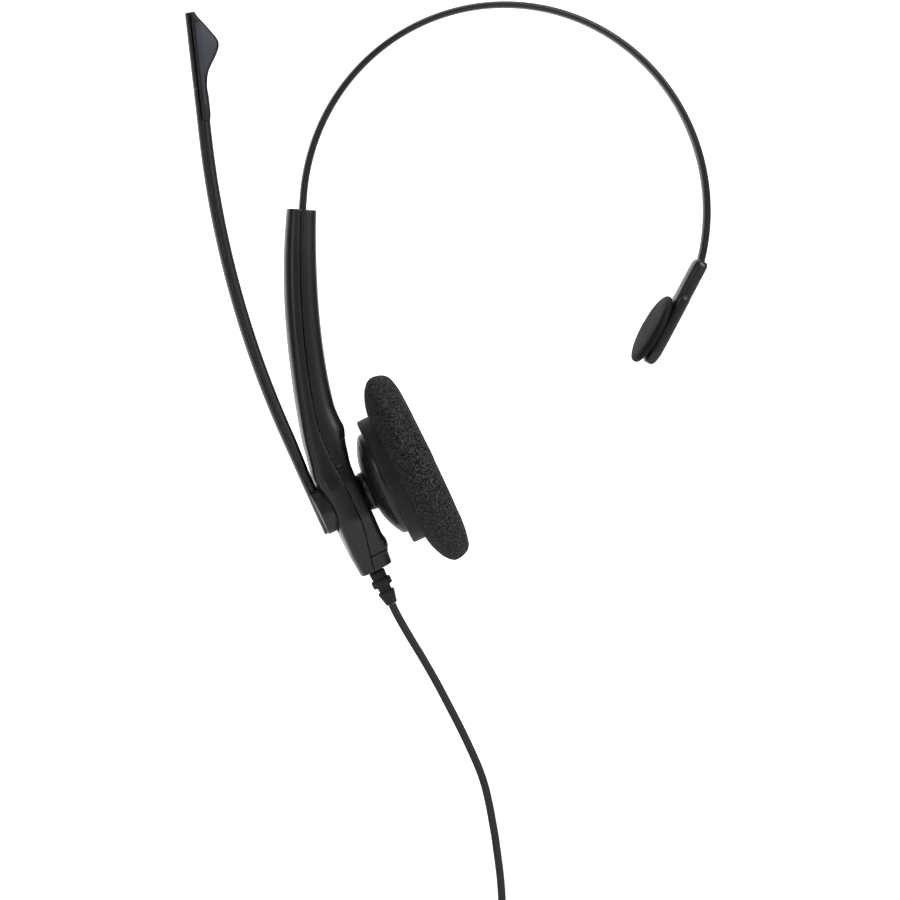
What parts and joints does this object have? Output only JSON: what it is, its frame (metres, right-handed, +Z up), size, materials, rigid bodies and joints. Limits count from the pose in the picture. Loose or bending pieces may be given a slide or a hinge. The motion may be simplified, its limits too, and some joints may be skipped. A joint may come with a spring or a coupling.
{
  "type": "office headset",
  "caption": "Monaural over-the-head office headset: thin sprung headband with temple pad, slider arm, boom microphone, foam ear cup and hanging lead.",
  "frame": {"origin": "inner surface of the headband at the crown of the head, on the headband's centre plane", "axes": "+Z up; +X across the head towards the temple pad; the headband lies in the plane Y = 0"},
  "size_m": [0.1593, 0.06, 0.3916],
  "materials": {
    "matte_black": "satin-matte moulded black",
    "soft_black": "matte black",
    "mic_grey": "fine matte blue-grey",
    "pad_grey": "matte dark grey",
    "foam": "open-cell charcoal foam",
    "cord_black": "soft satin black jacket",
    "steel": "bare spring steel",
    "brass": "plain",
    "nylon": "natural",
    "board_green": "green laminate",
    "film": "thin clear film",
    "felt": "dense dark felt"
  },
  "bodies": {
    "headband": {"headband_spring": "steel", "headband_sleeve": "matte_black", "band_stop": "nylon", "temple_holder": "matte_black", "temple_pin": "steel"},
    "slider_arm": {"arm_outer_shell": "matte_black", "arm_slide_cover": "matte_black", "arm_hub_cover": "matte_black", "arm_tail_cap": "matte_black", "slide_detent_spring": "steel", "arm_screw_1": "steel", "arm_screw_2": "steel", "boom_bush": "nylon", "boom_washer": "steel", "terminal_board": "board_green", "ball_stud": "steel", "strain_relief": "soft_black", "cord": "cord_black", "cord_hank": "cord_black", "hank_tie": "soft_black", "cord_tail": "cord_black", "plug_boot": "soft_black", "plug_shell_front": "matte_black", "plug_shell_back": "matte_black", "plug_insert": "nylon", "plug_contact_1": "brass", "plug_contact_2": "brass", "plug_contact_3": "brass", "plug_contact_4": "brass"},
    "boom": {"boom_hub": "matte_black", "boom_bar": "matte_black", "boom_cover": "matte_black", "boom_clip": "steel", "mic_shell": "soft_black", "mic_cover": "matte_black", "mic_plate_front": "mic_grey", "mic_plate_back": "mic_grey", "mic_capsule": "steel", "mic_boot": "felt", "mic_mesh": "steel", "mic_lead": "film"},
    "cup_gimbal": {"socket_liner": "nylon"},
    "ear_cup": {"cup_back_cover": "matte_black", "cup_ring": "soft_black", "vent_felt": "felt", "driver_frame": "steel", "driver_magnet": "steel", "driver_diaphragm": "film", "front_grille": "matte_black", "ear_cushion": "foam"},
    "temple_tilt": {"temple_pad_base": "matte_black", "temple_pad": "pad_grey"}
  },
  "joints": [
    {"name": "arm_slide", "type": "hinge", "parent": "headband", "child": "slider_arm", "pos_m": [0.17762, 0, -0.07619], "axis": [0, -1, 0], "range_deg": [0, 7.1]},
    {"name": "boom_turn", "type": "hinge", "parent": "slider_arm", "child": "boom", "pos_m": [-0.0443, 0, -0.14452], "axis": [0.9025, 0, 0.4308], "range_deg": [-135, 135]},
    {"name": "cup_tilt", "type": "hinge", "parent": "slider_arm", "child": "cup_gimbal", "pos_m": [-0.04191, 0, -0.14394], "axis": [0, 1, 0], "range_deg": [-7, 7]},
    {"name": "cup_swivel", "type": "hinge", "parent": "cup_gimbal", "child": "ear_cup", "pos_m": [-0.04191, 0, -0.14394], "axis": [0.4308, 0, -0.9025], "range_deg": [-13, 1]},
    {"name": "pad_tilt", "type": "hinge", "parent": "headband", "child": "temple_tilt", "pos_m": [0.04718, 0, -0.09737], "axis": [0, 1, 0], "range_deg": [-4, 4]}
  ]
}
